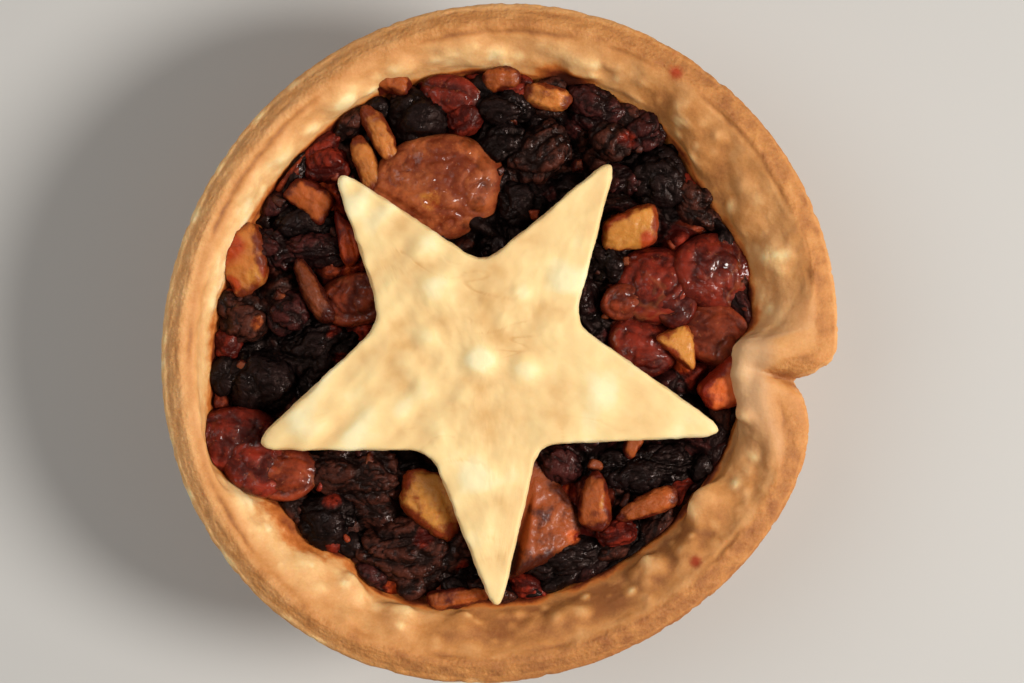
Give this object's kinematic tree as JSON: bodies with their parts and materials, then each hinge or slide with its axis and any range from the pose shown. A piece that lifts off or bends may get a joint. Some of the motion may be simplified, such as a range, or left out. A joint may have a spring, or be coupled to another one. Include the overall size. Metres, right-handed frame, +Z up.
{
  "type": "mince pie",
  "caption": "Small open mince pie: a flared shortcrust case with a pleat folded into its rim, filled with dark dried fruit, apple and peel, under a pale pastry star.",
  "frame": {"origin": "middle of the pie's footprint, on the surface that its flat base stands on", "axes": "+Z up out of the open top, and +X towards the pleat in the rim"},
  "size_m": [0.064, 0.0645, 0.0214],
  "materials": {
    "baked_pastry": "matt and crumbly golden brown shortcrust, paler inside the rim",
    "fruit_mincemeat": "sticky black and red-brown dried fruit in glossy syrup, with amber sultanas, apple and peel",
    "pale_pastry": "matt pale cream shortcrust with small blisters"
  },
  "bodies": {
    "root": {"pastry_case": "baked_pastry", "mincemeat": "fruit_mincemeat", "pastry_star": "pale_pastry"}
  },
  "joints": []
}
